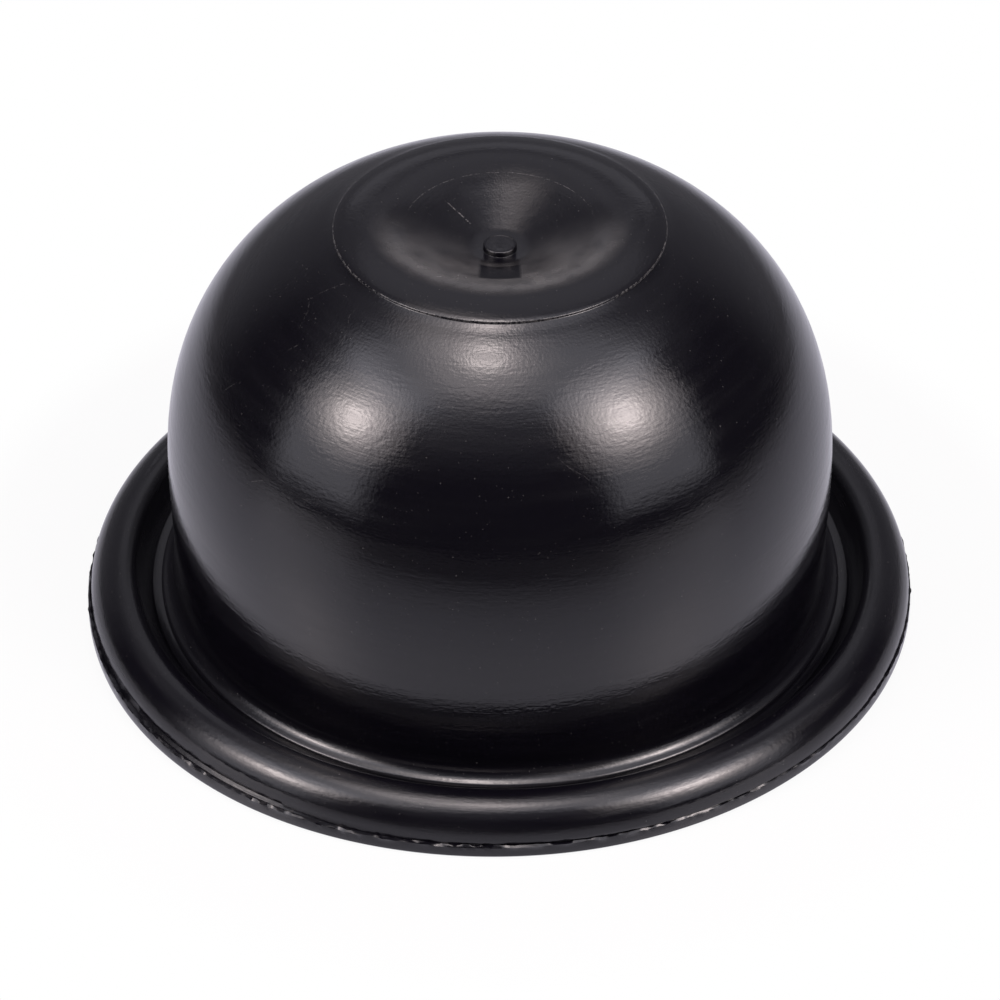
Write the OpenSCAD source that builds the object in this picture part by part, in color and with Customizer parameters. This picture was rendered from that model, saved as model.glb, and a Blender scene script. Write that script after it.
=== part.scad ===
// Moulded rubber diaphragm for a pump: a thick dome with a dimpled crown, on a flange with a sealing bead.
// It is one piece, turned about Z. Z = 0 is the sealing face under the flange, and sizes are millimetres.

/* [Dome] */
// Outside diameter of the straight dome wall
dome_d = 71.7; // [60:0.1:84]
// Thickness of the rubber wall
wall_t = 3; // [2:0.1:4.5]
// Height of the straight wall above the sealing face
straight_h = 17.9; // [10:0.1:26]
// Rise of the shoulder curve above the straight wall, up to the apex it would have with no dimple
shoulder_h = 32.1; // [26:0.1:38]
// Fullness of the shoulder curve: 2 is an ellipse, and more is squarer
shoulder_power = 2.3; // [2:0.05:2.8]
// Rounding of the inner edge at the mouth of the cavity
mouth_edge_r = 1; // [0.5:0.1:2]

/* [Crown] */
// Diameter of the mould's witness ring round the crown
crown_d = 34.8; // [28:0.1:40]
// Height by which the crown stands proud at the witness ring
crown_step = 0.22; // [0.05:0.01:0.4]
// Radius of the rounded rim between the witness ring and the dimple
crown_rim_r = 11; // [9:0.1:14]
// Diameter of the dimple's edge
dimple_d = 20; // [16:0.1:24]
// Depth of the dimple's floor below its edge
dimple_depth = 3; // [2:0.1:4]
// Width of the dimple's flat floor round the nub
floor_w = 1.35; // [0.8:0.05:1.6]
// Blend radius between the dimple's floor and its cone
floor_blend_r = 1.2; // [0.6:0.1:2]

/* [Nub] */
// Diameter of the moulding nub
nub_d = 3.5; // [2:0.1:4]
// Height of the nub above the dimple's floor
nub_h = 0.62; // [0.4:0.02:1.5]
// Chamfer of the nub's upper edge
nub_chamfer = 0.12; // [0.04:0.02:0.2]

/* [Foot and groove] */
// Fillet radius between the dome wall and its foot
foot_fillet_r = 2.4; // [1.5:0.1:3]
// Slope that the fillet still has where it meets the foot's outer edge, in degrees from level
foot_slope = 15; // [5:1:25]
// Rounding of the foot's outer edge
foot_edge_r = 0.45; // [0.2:0.05:0.6]
// Height of the foot above the floor of the groove, where the fillet meets the edge
foot_rise = 1.05; // [0.9:0.05:1.5]
// Width of the groove at its floor, between the foot and the bead's sloping side
groove_w = 0.28; // [0.2:0.02:1]
// Slope of the bead's side towards the groove, in degrees from level
groove_slope = 55; // [50:1:75]
// Thickness of the flange under the groove
web_t = 2.2; // [1.5:0.1:2.5]
// Fillet radius at both sides of the groove's floor
groove_fillet_r = 0.1; // [0.05:0.01:0.12]

/* [Bead and rim] */
// Rounding radius of the bead on its outer side
bead_outer_r = 3.7; // [3.4:0.05:5]
// Rounding radius of the bead on its inner side
bead_inner_r = 1.8; // [0.8:0.1:2.2]
// Height of the straight rim band, up to the mould's parting line
rim_h = 1.6; // [1.4:0.1:3]
// Width of the trimmed lip that the parting line leaves outside the bead
lip_w = 0.2; // [0.1:0.05:0.5]
// Rounding of the rim's lower edge
rim_edge_r = 0.3; // [0.1:0.05:0.6]

/* [Hidden] */

// Facets round the turn
$fn = 180;
// Furthest that an arc of the section bulges from its chords
arc_bulge = 0.02;
// Chords along the shoulder curve
shoulder_steps = 22;

// Heights of the flange's parts
foot_h = web_t + foot_rise;
bead_h = rim_h + bead_outer_r;
slope_h = bead_h - bead_inner_r * (1 - cos(groove_slope)) - web_t;

// Radii of the flange's parts, counted outwards from the dome wall
dome_r = dome_d / 2;
foot_r = dome_r + (foot_fillet_r + foot_edge_r) * (1 - sin(foot_slope));
groove_outer_r = foot_r + groove_w;
bead_crest_r = groove_outer_r + slope_h / tan(groove_slope) + bead_inner_r * sin(groove_slope);
rim_r = bead_crest_r + bead_outer_r + lip_w;

// Centres of the foot's two arcs, which share a slope where they meet
foot_fillet_centre = [dome_r + foot_fillet_r, foot_h + foot_fillet_r * cos(foot_slope)];
foot_edge_centre = [foot_r - foot_edge_r, foot_h - foot_edge_r * cos(foot_slope)];

// Centre of the small blend between the bead's side and the groove's floor
groove_blend_centre = [groove_outer_r - groove_fillet_r * tan(groove_slope / 2), web_t + groove_fillet_r];

// The witness ring is where the crown leaves the shoulder curve
ring_r = crown_d / 2;
ring_turn = acos(pow(ring_r / dome_r, shoulder_power / 2));
ring_normal = shoulder_normal(ring_turn);
ring_slope = atan2(ring_normal[0], ring_normal[1]);

// The crown's rim is an arc that starts at the ring on the shoulder's own slope
crown_t = wall_t + crown_step;
rim_centre = shoulder_point(ring_turn) + (crown_step - crown_rim_r) * ring_normal;
dimple_r = dimple_d / 2;
rim_turn = asin((rim_centre[0] - dimple_r) / crown_rim_r);
dimple_edge_z = rim_centre[1] + crown_rim_r * cos(rim_turn);

// The dimple is a cone from its edge, tangent to the blend round its floor
floor_r = nub_d / 2 + floor_w;
floor_z = dimple_edge_z - dimple_depth;
nub_top_z = floor_z + nub_h;
blend_centre = [floor_r, floor_z + floor_blend_r];
edge_offset = [dimple_r, dimple_edge_z] - blend_centre;
cone_slope = asin(floor_blend_r / norm(edge_offset)) + atan2(edge_offset[1], edge_offset[0]);

// Points along an arc, from one angle to another
function arc(centre, radius, from, to) =
    let (steps = ceil(abs(to - from) / (2 * acos(1 - arc_bulge / radius))))
    [for (i = [0:steps])
        let (a = from + (to - from) * i / steps)
        centre + radius * [cos(a), sin(a)]];

// Point on the shoulder, a superellipse, where turn is 0 at the straight wall and 90 at the apex
function shoulder_point(turn) = [
    dome_r * pow(cos(turn), 2 / shoulder_power),
    straight_h + shoulder_h * pow(sin(turn), 2 / shoulder_power)
];

// Outward unit normal of the shoulder at that point
function shoulder_normal(turn) =
    let (bend = 2 - 2 / shoulder_power)
    let (n = [pow(cos(turn), bend) / dome_r, pow(sin(turn), bend) / shoulder_h])
    n / norm(n);

// The shoulder from the straight wall to the witness ring, moved inwards by depth
function shoulder(depth) = [
    for (i = [0:shoulder_steps])
        let (turn = ring_turn * i / shoulder_steps)
        shoulder_point(turn) - depth * shoulder_normal(turn)
];

// The crown from the witness ring to the dimple's floor, moved inwards by depth
function crown(depth) = concat(
    arc(rim_centre, crown_rim_r - depth, 90 - ring_slope, 90 + rim_turn),
    arc(blend_centre, floor_blend_r + depth, cone_slope - 90, -90)
);

// Rim band and sealing bead, from the sealing face over the bead to its sloping side
function rim_and_bead() = concat(
    arc([rim_r - rim_edge_r, rim_edge_r], rim_edge_r, -90, 0),
    [[rim_r, rim_h]],
    arc([bead_crest_r, rim_h], bead_outer_r, 0, 90),
    arc([bead_crest_r, bead_h - bead_inner_r], bead_inner_r, 90, 90 + groove_slope)
);

// Groove behind the bead and the foot of the dome, up to the straight wall
function groove_and_foot() = concat(
    arc(groove_blend_centre, groove_fillet_r, groove_slope - 90, -90),
    arc([foot_r + groove_fillet_r, web_t + groove_fillet_r], groove_fillet_r, -90, -180),
    arc(foot_edge_centre, foot_edge_r, 0, 90 - foot_slope),
    arc(foot_fillet_centre, foot_fillet_r, -90 - foot_slope, -180)
);

// Nub left by the moulding in the middle of the dimple
function nub() = [
    [nub_d / 2, floor_z],
    [nub_d / 2, nub_top_z - nub_chamfer],
    [nub_d / 2 - nub_chamfer, nub_top_z],
    [0, nub_top_z]
];

// Wall of the open cavity, from the mouth up to the axis under the nub
function cavity() = concat(
    arc([dome_r - wall_t + mouth_edge_r, mouth_edge_r], mouth_edge_r, -90, -180),
    shoulder(wall_t),
    crown(crown_t),
    [[0, floor_z - crown_t]]
);

function reversed(points) = [for (i = [len(points) - 1:-1:0]) points[i]];

module diaphragm() {
    section = concat(
        rim_and_bead(),
        groove_and_foot(),
        shoulder(0),
        crown(0),
        nub(),
        reversed(cavity())
    );
    color("#1b1b1e")
        rotate_extrude()
            polygon(section);
}

diaphragm();
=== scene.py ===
# %% [markdown]
# # A moulded rubber pump diaphragm
# The object is one piece of black rubber: a thick dome with a dimpled crown, standing on a round flange
# with a sealing bead. A press moulded it in one shot, so this lesson models it as one mesh too.
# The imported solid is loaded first. It gives the size, the place and the body that the new mesh rides on.

# %% Load the frame
import math

import bpy
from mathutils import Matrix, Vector, noise


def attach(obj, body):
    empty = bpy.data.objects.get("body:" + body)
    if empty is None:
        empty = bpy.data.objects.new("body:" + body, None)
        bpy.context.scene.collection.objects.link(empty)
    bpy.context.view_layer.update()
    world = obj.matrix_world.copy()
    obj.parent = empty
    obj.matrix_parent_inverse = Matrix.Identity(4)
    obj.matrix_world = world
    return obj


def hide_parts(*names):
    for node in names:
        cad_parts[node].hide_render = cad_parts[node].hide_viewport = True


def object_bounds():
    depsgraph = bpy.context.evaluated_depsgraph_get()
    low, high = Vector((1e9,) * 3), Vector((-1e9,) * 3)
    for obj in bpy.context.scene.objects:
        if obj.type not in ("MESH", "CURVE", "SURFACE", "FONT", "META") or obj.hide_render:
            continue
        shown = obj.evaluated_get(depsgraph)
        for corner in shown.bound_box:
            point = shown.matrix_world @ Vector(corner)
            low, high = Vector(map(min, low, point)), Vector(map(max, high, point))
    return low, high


MM = 0.001
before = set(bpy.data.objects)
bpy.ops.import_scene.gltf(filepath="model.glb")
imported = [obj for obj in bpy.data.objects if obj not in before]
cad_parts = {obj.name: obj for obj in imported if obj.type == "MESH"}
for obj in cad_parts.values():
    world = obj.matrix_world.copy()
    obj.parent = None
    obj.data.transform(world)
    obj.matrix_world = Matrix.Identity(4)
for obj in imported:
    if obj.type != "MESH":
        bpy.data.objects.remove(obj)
cad_low, cad_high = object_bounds()
bpy.context.scene.view_settings.view_transform = "Standard"
print("CAD box in mm:", [round(v / MM, 2) for v in (*cad_low, *cad_high)])

# %% [markdown]
# ## Camera
# The photo was taken with a long lens, a little over a third of a metre in front of the part and 0.3 m
# up. A long lens keeps the near rim and the far rim almost the same width. Height, distance and pitch
# were worked out from the outline of the flange and the dome.

# %% Camera
camera_back = 0.3780
camera_up = 0.3007
camera_pitch = math.radians(37.42)
sensor_w = 36
lens = 157

bpy.ops.object.camera_add(
    location=(0, -camera_back, camera_up), rotation=(math.pi / 2 - camera_pitch, 0, 0)
)
camera = bpy.context.object
camera.name = "photo_camera"
camera.data.sensor_width = sensor_w
camera.data.lens = lens
bpy.context.scene.camera = camera
print("camera lens in mm:", camera.data.lens)

# %% [markdown]
# ## The section
# A round moulding is the same all the way round, so its whole shape is in one half section.
# It could be built from stacked primitives, but a section drawn as a line and spun once has no seams
# between parts, and every radius in it stays easy to change. All section sizes are in millimetres,
# as pairs of radius and height above the sealing face.

# %% Arcs
def arc(centre, radius, start, end, steps):
    """Points along an arc of the section, from one angle to another, in degrees."""
    turns = [math.radians(start + (end - start) * i / steps) for i in range(steps + 1)]
    return [(centre[0] + radius * math.cos(a), centre[1] + radius * math.sin(a)) for a in turns]


print("middle of a quarter arc of radius 1:", [round(v, 3) for v in arc((0, 0), 1, 0, 90, 2)[1]])

# %% [markdown]
# ## Dome
# The wall rises straight from the flange and then turns over in one long curve, fuller than an ellipse.
# A superellipse with a power of 2.3 follows it closely. The inner wall is the same curve,
# moved in by the thickness of the rubber along its normals.

# %% Dome shoulder
dome_r = 35.85
wall_t = 3.0
straight_h = 17.9
shoulder_h = 32.1
shoulder_power = 2.3
waist_z = 8.0
waist_depth = 0.2
ring_r = 17.4
ring_turn = math.acos((ring_r / dome_r) ** (shoulder_power / 2))


def shoulder_point(turn, depth=0.0):
    """Point of the shoulder and its outward normal, moved inwards by depth."""
    share = 2 / shoulder_power
    r = dome_r * math.cos(turn) ** share
    z = straight_h + shoulder_h * math.sin(turn) ** share
    normal = Vector((math.cos(turn) ** (2 - share) / dome_r, math.sin(turn) ** (2 - share) / shoulder_h))
    normal.normalize()
    return (r - depth * normal.x, z - depth * normal.y), normal


def waisted_wall(low, steps):
    """Points up the straight wall, which draws in by a hair between the foot and the shoulder."""
    heights = [low + (straight_h - low) * i / steps for i in range(1, steps)]
    points = []
    for z in heights:
        reach = straight_h - waist_z if z > waist_z else waist_z - low
        points.append((dome_r - waist_depth * (1 + math.cos(math.pi * (z - waist_z) / reach)) / 2, z))
    return points


def shoulder(depth, steps):
    """Points from the straight wall up to the witness ring."""
    return [shoulder_point(ring_turn * i / steps, depth)[0] for i in range(steps + 1)]


ring_point, ring_normal = shoulder_point(ring_turn)
ring_slope = math.degrees(math.atan2(ring_normal.x, ring_normal.y))
print("witness ring height in mm:", round(ring_point[1], 2), "slope in degrees:", round(ring_slope, 1))

# %% [markdown]
# ## Crown and dimple
# A separate mould insert shaped the crown, and left a small step all round where it met the rest.
# Inside the step, a rounded rim leads over a soft edge into a conical dimple.
# The step is drawn with two tiny radii, because its edges catch the light as a bright and a dark line.

# %% Crown and dimple
crown_step = 0.22
step_edge_r = 0.11
crown_rim_r = 11.0
dimple_r = 10.0
dimple_depth = 3.0
floor_r = 1.95
floor_blend_r = 4.0
dimple_soft = 1.6
cone_soft_share = 0.3
crown_t = wall_t + crown_step

rim_centre = Vector(ring_point) + (crown_step - crown_rim_r) * ring_normal
rim_turn = math.degrees(math.asin((rim_centre.x - dimple_r) / crown_rim_r))
dimple_edge = Vector((dimple_r, rim_centre.y + crown_rim_r * math.cos(math.radians(rim_turn))))
floor_z = dimple_edge.y - dimple_depth
blend_centre = Vector((floor_r, floor_z + floor_blend_r))
edge_offset = dimple_edge - blend_centre
cone_slope = math.degrees(
    math.asin(floor_blend_r / edge_offset.length) + math.atan2(edge_offset.y, edge_offset.x)
)


def crown(depth, rim_steps, blend_steps):
    """The rounded rim from the witness ring to the dimple's edge, and the blend round its floor."""
    rim = arc(rim_centre, crown_rim_r - depth, 90 - ring_slope, 90 + rim_turn, rim_steps)
    blend = arc(blend_centre, floor_blend_r + depth, cone_slope - 90, -90, blend_steps)
    return rim, blend


def witness_step():
    """The step at the ring: a small inner radius, then a small outer one."""
    along = Vector((ring_normal.y, -ring_normal.x))
    low = arc((step_edge_r, step_edge_r), step_edge_r, -90, -180, 3)
    high = arc((-step_edge_r, crown_step - step_edge_r), step_edge_r, 0, 90, 3)
    corner = Vector(ring_point)
    return [tuple(corner + u * along + v * ring_normal) for u, v in low + high]


def soft_crown(rim_steps, edge_steps, blend_steps):
    """The crown's outside, where a short curve rounds the dimple's edge between the rim and the cone."""
    turn = math.degrees(math.asin((rim_centre.x - dimple_r - dimple_soft) / crown_rim_r))
    rim = arc(rim_centre, crown_rim_r, 90 - ring_slope, 90 + turn, rim_steps)
    blend = arc(blend_centre, floor_blend_r, cone_slope - 90, -90, blend_steps)
    start, end = Vector(rim[-1]), dimple_edge.lerp(Vector(blend[0]), cone_soft_share)
    edge = []
    for i in range(1, edge_steps + 1):
        t = i / edge_steps
        edge.append(tuple(start.lerp(dimple_edge, t).lerp(dimple_edge.lerp(end, t), t)))
    return rim[1:] + edge + blend


print("dimple floor height in mm:", round(floor_z, 2), "cone slope in degrees:", round(cone_slope, 1))

# %% [markdown]
# ## Nub
# Rubber was fed in through the middle of the crown, and the feed was cut off close to the dimple's
# floor. What is left is a low round disc. Its top is a little hollow, so its edge shows as a light rim.

# %% Nub
nub_r = 1.75
nub_h = 0.62
nub_edge_r = 0.18
nub_root_r = 0.05
nub_hollow = 0.055
nub_rim_w = 0.14
pip_r = 0.2


def nub():
    """Points from the dimple's floor to the middle of the nub's top, which has a tiny pip."""
    top = floor_z + nub_h
    rim_in = nub_r - nub_edge_r
    return [
        *arc((nub_r + nub_root_r, floor_z + nub_root_r), nub_root_r, -90, -180, 3),
        *arc((nub_r - nub_edge_r, top - nub_edge_r), nub_edge_r, 0, 90, 4),
        *((rim_in - nub_rim_w * i / 3, top - nub_hollow * i / 3) for i in (1, 2, 3)),
        (pip_r, top - nub_hollow),
        (0.6 * pip_r, top - 0.7 * nub_hollow),
        (0, top - 0.6 * nub_hollow),
    ]


print("nub top in mm:", round(floor_z + nub_h, 2))

# %% [markdown]
# ## Flange
# From the outside in, the flange has a straight rim band, a trimmed lip at the parting line, a fat bead
# that the pump's cover presses on, a narrow groove, and the foot of the dome with its fillet.
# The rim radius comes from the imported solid, and the rest is counted in from there.

# %% Flange
rim_r = cad_high.x / MM
rim_h = 1.6
rim_edge_r = 0.3
band_mid_h = 0.8
lip_w = 0.2
lip_drop = 0.18
lip_edge_h = 0.12
lip_edge_w = 0.02
lip_crest_in = 0.22
lip_crest_h = 0.09
lip_ledge_in = 0.32
bead_outer_r = 3.7
bead_inner_r = 1.8
groove_slope = 55
groove_corner_w = 0.1
groove_corner_h = 0.06
web_t = 2.2
foot_rise = 0.59
foot_edge_r = 0.45
foot_fillet_r = 1.6
foot_slope = 17.5

bead_crest_r = rim_r - lip_w - bead_outer_r
bead_h = rim_h + bead_outer_r
side_low_z = web_t + groove_corner_h
side_high_z = bead_h - bead_inner_r * (1 - math.cos(math.radians(groove_slope)))
side_low_r = (
    bead_crest_r - bead_inner_r * math.sin(math.radians(groove_slope))
    - (side_high_z - side_low_z) / math.tan(math.radians(groove_slope))
)
foot_lean = Vector((math.sin(math.radians(foot_slope)), math.cos(math.radians(foot_slope))))
foot_top = Vector((dome_r + foot_fillet_r * (1 - foot_lean.x), web_t + foot_rise))
foot_edge_centre = foot_top - foot_edge_r * foot_lean
lip_z = rim_h - lip_drop


def rim_and_bead():
    """Points from the sealing face, up the band and the lip, and over the bead."""
    return [
        *arc((rim_r - rim_edge_r, rim_edge_r), rim_edge_r, -90, 0, 3),
        (rim_r, band_mid_h),
        (rim_r, lip_z - lip_edge_h),
        (rim_r - lip_edge_w, lip_z),
        (rim_r - lip_crest_in, lip_z + lip_crest_h),
        (rim_r - lip_ledge_in, lip_z),
        *arc((bead_crest_r, rim_h), bead_outer_r, 2, 90, 15),
        *arc((bead_crest_r, bead_h - bead_inner_r), bead_inner_r, 90, 90 + groove_slope, 6)[1:],
    ]


def groove_and_foot():
    """Points across the narrow groove and up the fillet to the dome wall."""
    return [
        (side_low_r, side_low_z),
        (side_low_r - groove_corner_w, web_t),
        (foot_edge_centre.x + foot_edge_r, web_t),
        *arc(foot_edge_centre, foot_edge_r, 0, 90 - foot_slope, 5),
        *arc(foot_top + foot_fillet_r * foot_lean, foot_fillet_r, -90 - foot_slope, -180, 9)[1:],
    ]


print("bead height in mm:", round(bead_h, 2), "groove's outer radius in mm:", round(side_low_r, 2))

# %% [markdown]
# ## Drawing and spinning the section
# By hand, this starts from a plane that is merged to a single vertex. The vertex is extruded from point
# to point along the section, which makes a chain of edges, and Spin turns the chain once about the axis.
# Doubles are merged afterwards, which closes the seam and the two ends on the axis.

# %% Draw the section
mouth_edge_r = 1.0


def cavity():
    """Points of the hidden inside, from the axis down to the mouth."""
    mouth = arc((dome_r - wall_t + mouth_edge_r, mouth_edge_r), mouth_edge_r, -90, -180, 3)
    rim, blend = crown(crown_t, 4, 2)
    rising = mouth + shoulder(wall_t, 11) + rim + blend + [(0, floor_z - crown_t)]
    return rising[::-1]


section = cavity() + rim_and_bead() + groove_and_foot()
section += waisted_wall(section[-1][1], 11) + shoulder(0, 28)[:-1]
section += witness_step() + soft_crown(10, 7, 5) + nub()

bpy.ops.object.select_all(action="DESELECT")
bpy.ops.mesh.primitive_plane_add(size=MM, location=(0, 0, 0))
diaphragm = bpy.context.object
diaphragm.name = "moulded_diaphragm"
bpy.ops.object.mode_set(mode="EDIT")
bpy.ops.mesh.merge(type="CENTER")
here = Vector((0, 0))
for r, z in section:
    step = Vector((r, z)) - here
    here = Vector((r, z))
    move = {"value": (step.x * MM, 0, step.y * MM)}
    if (r, z) == section[0]:
        bpy.ops.transform.translate(**move)
    else:
        bpy.ops.mesh.extrude_vertices_move(TRANSFORM_OT_translate=move)
print("section points:", len(section))

# %% Spin the section
spin_steps = 650
bpy.ops.mesh.select_all(action="SELECT")
bpy.ops.mesh.spin(steps=spin_steps, angle=2 * math.pi, center=(0, 0, 0), axis=(0, 0, 1))
bpy.ops.mesh.select_all(action="SELECT")
bpy.ops.mesh.remove_doubles(threshold=0.002 * MM)
bpy.ops.mesh.normals_make_consistent(inside=False)
bpy.ops.object.mode_set(mode="OBJECT")
print("triangles after the spin:", sum(len(face.vertices) - 2 for face in diaphragm.data.polygons))

# %% [markdown]
# ## Trimmed lip
# The flash that squeezed out between the mould halves was trimmed by hand, so the lip wanders in and
# out, stands wider at the front left than at the front right, and is nicked all the way round.
# An operator can't follow such a line, so the lip's vertices are moved in code, along their own radius.

# %% Noise and swells of the lip
# Each swell of the lip has a width in mm, and the angle of its middle and its spread in degrees
lip_swells = [(0.7, -134, 34), (-0.15, -52, 25)]


def lip_place(angle):
    """Place on the rim at an angle in degrees, which the noise is read at."""
    a = math.radians(angle)
    return Vector((math.cos(a), math.sin(a), 0)) * rim_r


def lip_width(angle):
    """How far the trimmed lip stands out from the rim's radius, in mm, at an angle in degrees."""
    return sum(width * math.exp(-(((angle - at) / spread) ** 2)) for width, at, spread in lip_swells)


def lip_noise(angle, grain, layer):
    """Noise from -1 to 1 round the rim, with a grain in mm. Each layer number gives another pattern."""
    return noise.noise(lip_place(angle) / grain + Vector((0, 0, 10 * layer)))


print("lip at the front left in mm:", round(lip_width(-135), 2), "front right:", round(lip_width(-45), 2))

# %% Trimmed lip
# Depths of the noise in mm, on the lip's outer edge and on its crest, and the share of it further in
torn_w = 0.16
edge_rise = 0.08
crest_rise = 0.2
crest_wave = 0.06
inner_share = 0.6
# How much more the crest stands up for each mm of swell
crest_swell = 1.2
# Room for telling the lip's rows of vertices apart, in mm
room = 0.05

moved = 0
for vertex in diaphragm.data.vertices:
    x, y, z = (v / MM for v in vertex.co)
    r = math.hypot(x, y)
    if r < rim_r - lip_ledge_in - room or z > rim_h:
        continue
    angle = math.degrees(math.atan2(y, x))
    offset = lip_width(angle)
    if z > lip_z - lip_edge_h + room:
        torn = torn_w * (lip_noise(angle, 2.2, 1) + lip_noise(angle, 0.9, 2))
        if r > rim_r - lip_crest_in + room:
            offset += torn
            vertex.co.z += edge_rise * lip_noise(angle, 1.1, 3) * MM
        elif r > rim_r - lip_crest_in - room:
            offset += inner_share * torn
            crest = crest_rise * lip_noise(angle, 0.8, 4) + crest_wave * lip_noise(angle, 7, 5)
            vertex.co.z += crest * (1 + crest_swell * lip_width(angle)) * MM
        else:
            offset *= inner_share
    vertex.co.x *= 1 + offset / r
    vertex.co.y *= 1 + offset / r
    moved += 1
print("lip vertices moved:", moved)

# %% [markdown]
# ## Smooth shading
# Moulded rubber flows from one face into the next, so the facets of the spin are shaded smooth.
# Edges sharper than the angle below, such as the nub's root and the torn lip, stay crisp.

# %% Smooth shading
smooth_angle = 32
bpy.ops.object.select_all(action="DESELECT")
diaphragm.select_set(True)
bpy.context.view_layer.objects.active = diaphragm
bpy.ops.object.shade_smooth_by_angle(angle=math.radians(smooth_angle))
print("smooth faces:", sum(face.use_smooth for face in diaphragm.data.polygons))

# %% [markdown]
# ## Rubber
# Black nitrile rubber, pressed in a turned and polished mould, gives a deep black with a soft gloss.
# The mould's fine turning marks and a slight orange peel break up the highlights, and years of handling
# have left specks of dust, lint and hair scratches. All of it is worked out from sizes in millimetres.
# Two helpers come first: one turns a colour code into shader values, and one adds any kind of node.

# %% Node helpers
def linear(code):
    """A colour written as an sRGB hex code, as the linear values that shaders take."""
    parts = [int(code[i:i + 2], 16) / 255 for i in (1, 3, 5)]
    return [p / 12.92 if p <= 0.04045 else ((p + 0.055) / 1.055) ** 2.4 for p in parts] + [1.0]


def add(tree, kind, settings=None, links=None):
    """Adds one node, sets its properties and sockets, and links its inputs."""
    node = tree.nodes.new(kind)
    for name, value in (settings or {}).items():
        if isinstance(name, str) and hasattr(node, name):
            setattr(node, name, value)
        else:
            node.inputs[name].default_value = value
    for name, source in (links or {}).items():
        tree.links.new(source, node.inputs[name])
    return node


print("grey #808080 as a linear value:", round(linear("#808080")[0], 3))

# %% [markdown]
# ## Coordinates on the rubber
# The mould was turned on a lathe, so its marks run round the axis. Plain X, Y and Z can't follow them.
# The angle, the radius and the height of each point can, once the angle is unrolled into a length.

# %% Rubber: coordinates
rubber = bpy.data.materials.new("pressed_black_nitrile_rubber")
rubber.use_nodes = True
tree = rubber.node_tree
shader = tree.nodes["Principled BSDF"]
shader.inputs["IOR"].default_value = 1.5

place = add(tree, "ShaderNodeTexCoord").outputs["Object"]
axes = add(tree, "ShaderNodeSeparateXYZ", {}, {0: place})
flat = add(tree, "ShaderNodeVectorMath", {"operation": "MULTIPLY", 1: (1, 1, 0)}, {0: place})
radius = add(tree, "ShaderNodeVectorMath", {"operation": "LENGTH"}, {0: flat.outputs["Vector"]})
front = add(tree, "ShaderNodeMath", {"operation": "MULTIPLY", 1: -1.0}, {0: axes.outputs["Y"]})
turn = add(tree, "ShaderNodeMath", {"operation": "ARCTAN2"}, {0: axes.outputs["X"], 1: front.outputs[0]})
round_r = 30 * MM
along = add(tree, "ShaderNodeMath", {"operation": "MULTIPLY", 1: round_r}, {0: turn.outputs[0]})
turned = add(
    tree, "ShaderNodeCombineXYZ", {},
    {0: along.outputs[0], 1: radius.outputs["Value"], 2: axes.outputs["Z"]},
)
print("length of one turn of the pattern in mm:", round(2 * math.pi * round_r / MM, 1))

# %% [markdown]
# ## Relief
# Orange peel, turning marks and the slow waves of a cured surface are all far too fine to model.
# They are noise instead, added up as real heights, so one bump node can tilt the surface by them.

# %% Rubber: relief
# Each relief has a grain size, a stretch round the axis and a height, in mm
reliefs = [
    (0.42, 1.0, 0.011),
    (0.24, 0.2, 0.008),
    (0.6, 0.05, 0.008),
    (3.0, 0.6, 0.013),
]
height = None
for grain, stretch, rise in reliefs:
    squeezed = add(tree, "ShaderNodeMapping", {"Scale": (stretch, 1, 1)}, {"Vector": turned.outputs[0]})
    grains = add(
        tree, "ShaderNodeTexNoise", {"Scale": 1 / (grain * MM), "Detail": 1.0},
        {"Vector": squeezed.outputs[0]},
    )
    links = {0: grains.outputs["Fac"]}
    if height:
        links[2] = height.outputs[0]
    height = add(tree, "ShaderNodeMath", {"operation": "MULTIPLY_ADD", 1: rise * MM}, links)
bump = add(tree, "ShaderNodeBump", {"Strength": 1.0, "Distance": 1.0}, {"Height": height.outputs[0]})
tree.links.new(bump.outputs["Normal"], shader.inputs["Normal"])
print("relief in mm:", round(sum(rise for grain, stretch, rise in reliefs), 3))

# %% [markdown]
# ## Dust and lint
# Rubber draws dust. Specks sit at random, which the cells of a Voronoi texture give: a small disc
# round each cell's point is a speck, and a stretched cell gives a thread of lint.

# %% Rubber: dust and lint
# Each kind has a spacing, a half width in mm and a stretch, and a strength
dust_kinds = [
    (1.5, 0.07, (1, 1, 1), 0.2),
    (0.7, 0.05, (1, 1, 1), 0.15),
    (2.0, 0.03, (0.07, 1, 1), 0.12),
]
dust_and_painted_light = None
for spacing, half_w, stretch, strength in dust_kinds:
    tilted = add(
        tree, "ShaderNodeMapping", {"Scale": stretch, "Rotation": (0.5, 0.9, 0.4)}, {"Vector": place}
    )
    cells = add(
        tree, "ShaderNodeTexVoronoi", {"Scale": 1 / (spacing * MM)}, {"Vector": tilted.outputs[0]}
    )
    speck = add(
        tree, "ShaderNodeMapRange",
        {"From Min": 1.3 * half_w / spacing, "From Max": 0.6 * half_w / spacing, "To Max": strength},
        {"Value": cells.outputs["Distance"]},
    )
    if dust_and_painted_light:
        dust_and_painted_light = add(
            tree, "ShaderNodeMath", {"operation": "MAXIMUM"}, {0: dust_and_painted_light.outputs[0], 1: speck.outputs[0]}
        )
    else:
        dust_and_painted_light = speck
print("kinds of dust:", len(dust_kinds))

# %% [markdown]
# ## Hairs and scratches
# A few scuffs can be told apart on this part: a scratch in the dimple, hairs on the shoulder, and
# single flecks. Each is a line of points on the surface. The shader measures how far a place is from
# that line. A noise breaks the line up later, as a scuff skips over the low spots.

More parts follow.
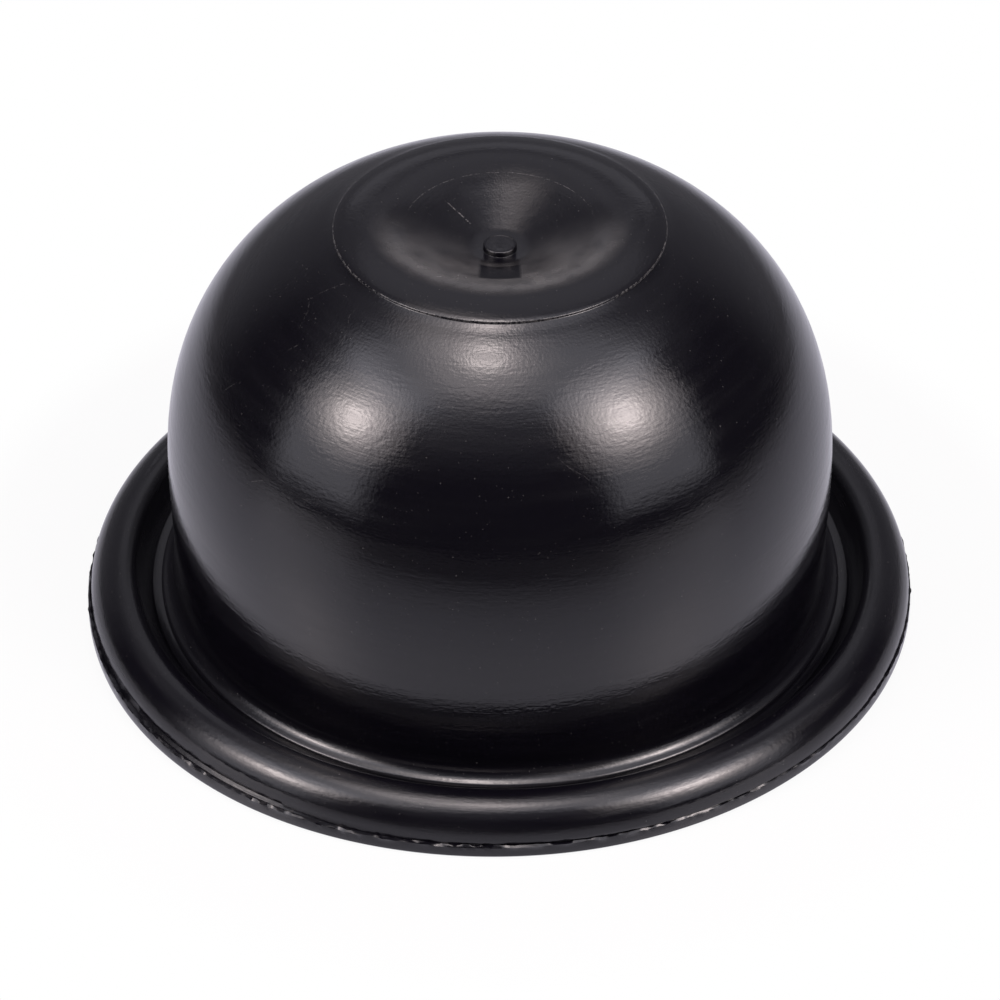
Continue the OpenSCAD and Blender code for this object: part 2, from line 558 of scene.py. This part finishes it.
# %% Rubber: hairs and scratches
# Each mark has a half width in mm, a strength, and its points in mm
marks = [
    (0.08, 0.4, [(-5.74, 5.68, 46.82), (-5.11, 5.13, 46.47), (-4.12, 4.34, 45.95)]),
    (0.08, 0.4, [(-4.12, 4.34, 45.95), (-3.10, 3.47, 45.40)]),
    (0.05, 0.12, [(-13.10, -11.30, 47.47), (-16.07, -9.50, 46.67), (-18.28, -9.62, 45.70)]),
    (0.05, 0.12, [(-18.28, -9.62, 45.70), (-19.56, -9.90, 45.00), (-19.69, -11.37, 44.50)]),
    (0.05, 0.12, [(-19.69, -11.37, 44.50), (-20.55, -12.81, 43.50)]),
    (0.05, 0.07, [(-14.34, -12.98, 46.36), (-15.35, -13.82, 45.70), (-15.57, -15.73, 44.87)]),
    (0.05, 0.07, [(-15.57, -15.73, 44.87), (-16.30, -16.56, 44.18)]),
    (0.05, 0.12, [(-21.66, -14.64, 41.98), (-20.65, -14.68, 42.65)]),
    (0.05, 0.12, [(-28.37, -13.26, 35.98), (-27.10, -13.81, 37.32)]),
    (0.05, 0.12, [(-25.51, -22.25, 30.85), (-23.72, -23.47, 32.06)]),
    (0.05, 0.10, [(-20.03, -26.68, 32.06), (-18.44, -27.75, 32.17)]),
    (0.05, 0.10, [(5.79, -28.71, 38.78), (6.93, -29.19, 37.88), (8.56, -29.46, 36.95)]),
    (0.05, 0.10, [(8.56, -29.46, 36.95), (9.70, -29.84, 35.89)]),
    (0.06, 0.14, [(21.49, -21.71, 37.13), (21.13, -22.86, 36.28)]),
    (0.07, 0.22, [(9.99, -25.62, 40.73), (12.04, -24.91, 40.56), (14.44, -24.71, 39.56)]),
    (0.06, 0.22, [(10.37, -26.00, 40.23), (12.85, -25.22, 39.90)]),
    (0.1, 0.7, [(0.38, 4.05, 45.16)]),
    (0.09, 0.22, [(22.42, -20.94, 36.95)]),
    (0.08, 0.14, [(-23.38, -9.76, 42.65)]),
    (0.08, 0.14, [(-8.75, -28.99, 37.51)]),
    (0.08, 0.14, [(-2.22, -29.21, 38.78)]),
    (0.08, 0.14, [(-2.05, -31.31, 35.89)]),
    (0.08, 0.14, [(-3.05, -32.22, 34.18)]),
    (0.08, 0.14, [(16.12, -15.46, 44.75)]),
    (0.08, 0.14, [(22.42, -10.34, 43.15)]),
    (0.08, 0.14, [(15.02, -13.38, 45.98)]),
    (0.08, 0.14, [(23.63, -25.03, 29.13)]),
]
print("marks:", len(marks))

# %% Rubber: drawing the marks
# Marks of the same width and strength share one distance, which keeps the shader quick
nearest = {}
for half_w, strength, points in marks:
    points = [Vector(point) * MM for point in points]
    for start, end in zip(points, points[1:] or points):
        run = end - start
        if run.length:
            offset = add(tree, "ShaderNodeVectorMath", {"operation": "SUBTRACT", 1: start}, {0: place})
            reach = add(
                tree, "ShaderNodeVectorMath", {"operation": "DOT_PRODUCT", 1: run / run.length_squared},
                {0: offset.outputs["Vector"]},
            )
            held = add(tree, "ShaderNodeClamp", {}, {0: reach.outputs["Value"]})
            foot = add(
                tree, "ShaderNodeVectorMath", {"operation": "SCALE", 0: run}, {"Scale": held.outputs[0]}
            )
            gap = add(
                tree, "ShaderNodeVectorMath", {"operation": "DISTANCE"},
                {0: offset.outputs["Vector"], 1: foot.outputs["Vector"]},
            )
        else:
            gap = add(tree, "ShaderNodeVectorMath", {"operation": "DISTANCE", 1: start}, {0: place})
        gap = gap.outputs["Value"]
        if (half_w, strength) in nearest:
            links = {0: nearest[half_w, strength], 1: gap}
            gap = add(tree, "ShaderNodeMath", {"operation": "MINIMUM"}, links).outputs[0]
        nearest[half_w, strength] = gap

scuffs_and_highlight = None
for (half_w, strength), gap in nearest.items():
    mark = add(
        tree, "ShaderNodeMapRange",
        {"From Min": 1.3 * half_w * MM, "From Max": 0.5 * half_w * MM, "To Max": strength},
        {"Value": gap},
    )
    if scuffs_and_highlight:
        links = {0: scuffs_and_highlight.outputs[0], 1: mark.outputs[0]}
        scuffs_and_highlight = add(tree, "ShaderNodeMath", {"operation": "MAXIMUM"}, links)
    else:
        scuffs_and_highlight = mark
print("nodes up to the marks:", len(tree.nodes))

# %% [markdown]
# ## Grey rings and a painted highlight
# The witness step gets a thin grey line all round. Along the back of the dimple's edge a grey line is a
# painted highlight, where the crease catches the lamps overhead.
# A ring is where the distance from the axis is close to one radius, broken up by the same noise.

# %% Rubber: grey rings and painted highlight
# Each ring has a radius, a half width, a strength, and the range of Y over which it fades in, all in mm.
# The first range lies in front of the part, so that ring is there all round
rings_and_painted_highlight = [
    (ring_r, 0.055, 0.28, (-40, -39)),
    # The dimple's edge is grey only towards the back: a painted highlight, where the crease catches the
    # lamps overhead
    (dimple_r, 0.045, 0.2, (1, 6)),
]
for ring, half_w, strength, (fade_from, fade_to) in rings_and_painted_highlight:
    off = add(
        tree, "ShaderNodeMath", {"operation": "SUBTRACT", 1: ring * MM}, {0: radius.outputs["Value"]}
    )
    gap = add(tree, "ShaderNodeMath", {"operation": "ABSOLUTE"}, {0: off.outputs[0]})
    line = add(
        tree, "ShaderNodeMapRange",
        {"From Min": 1.3 * half_w * MM, "From Max": 0.5 * half_w * MM, "To Max": strength},
        {"Value": gap.outputs[0]},
    )
    fade = add(
        tree, "ShaderNodeMapRange", {"From Min": fade_from * MM, "From Max": fade_to * MM},
        {"Value": axes.outputs["Y"]},
    )
    part = add(
        tree, "ShaderNodeMath", {"operation": "MULTIPLY"}, {0: line.outputs[0], 1: fade.outputs[0]}
    )
    links = {0: scuffs_and_highlight.outputs[0], 1: part.outputs[0]}
    scuffs_and_highlight = add(tree, "ShaderNodeMath", {"operation": "MAXIMUM"}, links)
print("worn rings:", len(rings_and_painted_highlight))

# %% Rubber: breaking up the scuffs and the painted highlight
skip_grain = 0.35
worn = add(
    tree, "ShaderNodeTexNoise", {"Scale": 1 / (skip_grain * MM), "Detail": 1.0}, {"Vector": place}
)
gaps = add(
    tree, "ShaderNodeMapRange", {"From Min": 0.42, "From Max": 0.6}, {"Value": worn.outputs["Fac"]}
)
links = {0: scuffs_and_highlight.outputs[0], 1: gaps.outputs[0]}
broken = add(tree, "ShaderNodeMath", {"operation": "MULTIPLY"}, links)
# The broken scuffs, with the painted highlight on the dimple's back edge, join the dust mask
links = {0: dust_and_painted_light.outputs[0], 1: broken.outputs[0]}
dust_and_painted_light = add(tree, "ShaderNodeMath", {"operation": "MAXIMUM"}, links)
print("grain of the gaps in mm:", skip_grain)

# %% [markdown]
# ## Dust film and painted reflections
# A grey film lies round the front of the dimple: partly dust, and partly a painted reflection of the lit
# room in the glossy cone.
# It fades in and out with the radius, and towards the back. In front of the nub a short strip of the cone
# is left black, out to the dimple's edge: a painted reflection of the nub.

# %% Rubber: dust film and painted reflection
film_grain = 2.5
film_least, film_most = 0.11, 0.34
film_and_reflection = add(
    tree, "ShaderNodeTexNoise", {"Scale": 1 / (film_grain * MM), "Detail": 3.0}, {"Vector": place}
)
film_and_reflection = add(
    tree, "ShaderNodeMapRange",
    {"From Min": 0.25, "From Max": 0.75, "To Min": film_least, "To Max": film_most},
    {"Value": film_and_reflection.outputs["Fac"]},
)
# What each fade follows, and from where to where the film comes in, in mm
film_fades = [
    (radius.outputs["Value"], 14.2, 12.0),
    (radius.outputs["Value"], 2.4, 4.0),
    (axes.outputs["Y"], 3, -10),
]
for source, fade_from, fade_to in film_fades:
    fade = add(
        tree, "ShaderNodeMapRange",
        {"interpolation_type": "SMOOTHSTEP", "From Min": fade_from * MM, "From Max": fade_to * MM},
        {"Value": source},
    )
    film_and_reflection = add(
        tree, "ShaderNodeMath", {"operation": "MULTIPLY"}, {0: film_and_reflection.outputs[0], 1: fade.outputs[0]}
    )
print("film from", film_least, "to", film_most)

# %% Rubber: painted reflection of the nub
aside = add(tree, "ShaderNodeMath", {"operation": "ABSOLUTE"}, {0: axes.outputs["X"]})
# The strip is a painted reflection of the nub, left black. It ends where the film comes back: at its
# sides, at the dimple's edge and near the nub
nub_reflection_fades = [
    (aside.outputs[0], 1.95, 2.3),
    (radius.outputs["Value"], 9.6, 10.0),
    (radius.outputs["Value"], 4.8, 4.3),
]
painted_nub_reflection = None
for source, fade_from, fade_to in nub_reflection_fades:
    fade = add(
        tree, "ShaderNodeMapRange", {"From Min": fade_from * MM, "From Max": fade_to * MM},
        {"Value": source},
    )
    if painted_nub_reflection:
        painted_nub_reflection = add(
            tree, "ShaderNodeMath", {"operation": "MAXIMUM"}, {0: painted_nub_reflection.outputs[0], 1: fade.outputs[0]}
        )
    else:
        painted_nub_reflection = fade
film_and_reflection = add(tree, "ShaderNodeMath", {"operation": "MULTIPLY"}, {0: film_and_reflection.outputs[0], 1: painted_nub_reflection.outputs[0]})
# The film, with its painted reflections of the room and of the nub, joins the dust mask
dust_and_painted_light = add(tree, "ShaderNodeMath", {"operation": "MAXIMUM"}, {0: dust_and_painted_light.outputs[0], 1: film_and_reflection.outputs[0]})
print("nodes up to the film:", len(tree.nodes))

# %% [markdown]
# ## Colour and gloss
# Clean rubber is almost black, and dust pulls it towards grey. The same grey paints the highlight on the
# dimple's back edge and the reflections round the nub. The gloss changes in long streaks round the axis,
# and the flange is duller than the dome because it is handled more. Dust, and the painted grey with it, is
# rough.

# %% Rubber: colour
rubber_black = "#08070c"
# The same grey paints the dust, the painted highlight on the dimple's edge and the painted reflection
# round the nub
dust_and_painted_light_grey = "#7c7a78"
tone = add(
    tree, "ShaderNodeMix", {"data_type": "RGBA", 6: linear(rubber_black), 7: linear(dust_and_painted_light_grey)},
    {0: dust_and_painted_light.outputs[0]},
)
tree.links.new(tone.outputs[2], shader.inputs["Base Color"])
print("rubber, linear red:", round(linear(rubber_black)[0], 4), "dust:", round(linear(dust_and_painted_light_grey)[0], 3))

# %% Rubber: gloss
streak_w = 1.2
streak_stretch = 0.12
polished = 0.1
dome_dull = 0.2
flange_dull = 0.3
squeezed = add(
    tree, "ShaderNodeMapping", {"Scale": (streak_stretch, 1, 1)}, {"Vector": turned.outputs[0]}
)
streaks = add(
    tree, "ShaderNodeTexNoise", {"Scale": 1 / (streak_w * MM), "Detail": 3.0},
    {"Vector": squeezed.outputs[0]},
)
dullest = add(
    tree, "ShaderNodeMapRange",
    {"From Min": 9 * MM, "From Max": 5 * MM, "To Min": dome_dull, "To Max": flange_dull},
    {"Value": axes.outputs["Z"]},
)
gloss = add(
    tree, "ShaderNodeMapRange", {"From Min": 0.3, "From Max": 0.7, "To Min": polished},
    {"Value": streaks.outputs["Fac"], "To Max": dullest.outputs[0]},
)
dulled = add(tree, "ShaderNodeMath", {"operation": "MAXIMUM"}, {0: gloss.outputs[0], 1: dust_and_painted_light.outputs[0]})
tree.links.new(dulled.outputs[0], shader.inputs["Roughness"])
diaphragm.data.materials.append(rubber)
print("nodes in the rubber:", len(tree.nodes))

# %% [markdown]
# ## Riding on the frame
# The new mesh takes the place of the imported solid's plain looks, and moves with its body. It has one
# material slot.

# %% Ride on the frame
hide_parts("diaphragm")
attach(diaphragm, "root")
print("rides on:", "root", "in place of:", "diaphragm")

# %% [markdown]
# ## Floor
# The part stands on white paper that the photo shows as pure white. The camera therefore sees the paper
# glow at a strength of 1. Round the part a little plain diffuse in it keeps the shadow. In reflections
# the paper gets dimmer away from the part, as it does outside the pool of light on the table.

# %% Floor
bpy.ops.object.select_all(action="DESELECT")
bpy.ops.mesh.primitive_plane_add(size=8, location=(0, 0, 0))
floor = bpy.context.object
floor.name = "pale_floor"
paper = bpy.data.materials.new("white_paper_floor")
paper.use_nodes = True
tree = paper.node_tree
tree.nodes.remove(tree.nodes["Principled BSDF"])
print("floor size in m:", round(floor.dimensions.x, 1))

# %% Floor: pool of light
# The pool is wider than deep, and its middle is behind the part. Distances are in metres
pool_squeeze = (0.45, 1, 0)
pool_shift = (0, -0.025, 0)
pool_near, pool_far = 0.05, 0.25
pool_light, pool_dark = 0.92, 0.06
place = add(tree, "ShaderNodeTexCoord")
pool = add(
    tree, "ShaderNodeVectorMath", {"operation": "MULTIPLY_ADD", 1: pool_squeeze, 2: pool_shift},
    {0: place.outputs["Object"]},
)
reach = add(tree, "ShaderNodeVectorMath", {"operation": "LENGTH"}, {0: pool.outputs["Vector"]})
fade = add(
    tree, "ShaderNodeMapRange",
    {
        "interpolation_type": "SMOOTHSTEP", "From Min": pool_near, "From Max": pool_far,
        "To Min": pool_light, "To Max": pool_dark,
    },
    {"Value": reach.outputs["Value"]},
)
rays = add(tree, "ShaderNodeLightPath")
direct = add(
    tree, "ShaderNodeMath", {"operation": "ADD"},
    {0: rays.outputs["Is Camera Ray"], 1: rays.outputs["Is Transmission Ray"]},
)
strength = add(
    tree, "ShaderNodeMix", {"data_type": "FLOAT", 3: 1.0}, {0: direct.outputs[0], 2: fade.outputs[0]}
)
tint = add(
    tree, "ShaderNodeMix", {"data_type": "RGBA", 6: linear("#f3f0ff"), 7: linear("#ffffff")},
    {0: direct.outputs[0]},
)
print("pool of light from", pool_light, "to", pool_dark)

# %% Floor: paper
white = add(tree, "ShaderNodeEmission", {}, {"Color": tint.outputs[2], "Strength": strength.outputs[0]})
sheet = add(tree, "ShaderNodeBsdfDiffuse", {"Color": linear("#c8c8c8")})
seen = add(
    tree, "ShaderNodeMath", {"operation": "ADD"},
    {0: direct.outputs[0], 1: rays.outputs["Is Glossy Ray"]},
)
apart = add(tree, "ShaderNodeVectorMath", {"operation": "LENGTH"}, {0: place.outputs["Object"]})
shadow_from, shadow_to = 0.058, 0.066
plain = add(
    tree, "ShaderNodeMapRange",
    {"From Min": shadow_from, "From Max": shadow_to, "To Min": 0.9, "To Max": 1.01},
    {"Value": apart.outputs["Value"]},
)
share = add(
    tree, "ShaderNodeMath", {"operation": "MULTIPLY", "use_clamp": True},
    {0: seen.outputs[0], 1: plain.outputs[0]},
)
rim_light = add(tree, "ShaderNodeFresnel", {"IOR": 1.5})
shine = add(
    tree, "ShaderNodeMath", {"operation": "MULTIPLY"},
    {0: rim_light.outputs[0], 1: rays.outputs["Is Glossy Ray"]},
)
gloss = add(tree, "ShaderNodeBsdfGlossy", {"Color": linear("#ffffff"), "Roughness": 0.3})
coated = add(
    tree, "ShaderNodeMixShader", {}, {0: shine.outputs[0], 1: white.outputs[0], 2: gloss.outputs[0]}
)
mix = add(
    tree, "ShaderNodeMixShader", {}, {0: share.outputs[0], 1: sheet.outputs[0], 2: coated.outputs[0]}
)
tree.links.new(mix.outputs[0], tree.nodes["Material Output"].inputs["Surface"])
floor.data.materials.append(paper)
print("nodes in the paper:", len(tree.nodes))

# %% [markdown]
# ## Light
# Two tall softboxes stand left and right of the camera, and a wide panel hangs overhead. The bulb behind
# each cloth makes its middle much brighter than its edges, so each is a panel with rounder lamps in
# front. Strength is given as brightness, where 1 is paper white, because a black gloss shows just that.

# %% Lamps
warm = "#fff1ee"
cool = "#f6f4ff"


def lamp(name, azimuth, elevation, distance, width, height, brightness, colour, shape="ELLIPSE", roll=0):
    """A soft lamp that faces the crown. Azimuth 0 is towards the camera, and plus is to the right."""
    a, e = math.radians(azimuth), math.radians(elevation)
    away = Vector((math.sin(a) * math.cos(e), -math.cos(a) * math.cos(e), math.sin(e)))
    target = Vector((0, 0, 40 * MM))
    bpy.ops.object.light_add(type="AREA", location=target + distance * away)
    light = bpy.context.object
    light.name = name
    light.rotation_euler = away.to_track_quat("Z", "Y").to_euler()
    light.rotation_euler.rotate_axis("Z", math.radians(roll))
    light.data.shape = shape
    light.data.size = width
    light.data.size_y = height
    area = width * height * (1 if shape == "RECTANGLE" else math.pi / 4)
    light.data.energy = brightness * 4 * area
    light.data.color = linear(colour)[:3]


def glow(name, azimuth, elevation, distance, layers):
    """Rounder lamps one in front of the other, each given as a diameter in degrees and a brightness."""
    for i, (spread, brightness) in enumerate(layers):
        away = distance - 0.02 * i
        size = 2 * away * math.tan(math.radians(spread / 2))
        lamp(f"{name}_{i}", azimuth, elevation, away, size, size, brightness, warm)


# Each big panel is three sheets of slightly different size, so its edge is soft
for edge, share in ((-0.12, 0.4), (0, 0.35), (0.12, 0.25)):
    near = 0.1 * edge
    tall = 1.06 + edge
    lamp("left_softbox", -68, 33, 1.0 - near, 0.66 + edge, tall, 1.2 * share, cool, "RECTANGLE", 8)
    lamp("right_softbox", 61, 36, 1.0 - near, 0.70 + edge, tall, 1.1 * share, cool, "RECTANGLE", -8)
    lamp("top_panel", 0, 83, 1.1 - near, 1.9 + edge, 0.74 + 2 * edge, 1.05 * share, cool, "RECTANGLE")
lamp("back_low", 180, 24, 1.0, 0.6, 0.26, 0.22, cool)
lamp("back_high", 180, 53, 1.0, 0.8, 0.62, 0.16, cool)
glow("left_bulb", -66, 39, 0.97, [(36, 1.1), (24, 2.4), (16, 3.4), (9, 7)])
glow("right_bulb", 60, 44.5, 0.97, [(44, 0.8), (31, 2.0), (21, 3.4), (11, 8.5)])
glow("top_halo", -35, 82, 1.07, [(40, 0.4), (28, 1.0)])
glow("top_patch", -132, 75, 1.05, [(28, 0.45), (18, 0.5)])
glow("top_bulb", -44, 85, 1.03, [(17, 2.5), (8, 8)])

# %% [markdown]
# ## World
# The room beyond the lamps is dim. It is a little lighter behind the part and on the ceiling, which
# fills the crown. To the camera it is plain white, like the paper.

# %% World
world = bpy.data.worlds.new("studio")
bpy.context.scene.world = world
world.use_nodes = True
tree = world.node_tree
rays = add(tree, "ShaderNodeLightPath")
direction = add(tree, "ShaderNodeTexCoord")
axes = add(tree, "ShaderNodeSeparateXYZ", {}, {0: direction.outputs["Generated"]})
room_dark = 0.04
back_light = 0.23
back_from, back_to = 0.40, 0.80
ceiling_light = 0.40
ceiling_from, ceiling_to = 0.50, 0.97
studio = add(
    tree, "ShaderNodeMapRange",
    {
        "interpolation_type": "SMOOTHSTEP", "From Min": back_from, "From Max": back_to,
        "To Min": room_dark, "To Max": back_light,
    },
    {"Value": axes.outputs["Y"]},
)
ceiling = add(
    tree, "ShaderNodeMapRange",
    {
        "interpolation_type": "SMOOTHSTEP", "From Min": ceiling_from, "From Max": ceiling_to,
        "To Max": ceiling_light,
    },
    {"Value": axes.outputs["Z"]},
)
room = add(tree, "ShaderNodeMath", {"operation": "ADD"}, {0: studio.outputs[0], 1: ceiling.outputs[0]})
level = add(
    tree, "ShaderNodeMix", {"data_type": "FLOAT", 3: 1.0},
    {0: rays.outputs["Is Camera Ray"], 2: room.outputs[0]},
)
tone = add(
    tree, "ShaderNodeMix", {"data_type": "RGBA", 6: linear(cool), 7: linear("#ffffff")},
    {0: rays.outputs["Is Camera Ray"]},
)
tree.links.new(level.outputs[0], tree.nodes["Background"].inputs["Strength"])
tree.links.new(tone.outputs[2], tree.nodes["Background"].inputs["Color"])
print("nodes in the world:", len(tree.nodes))
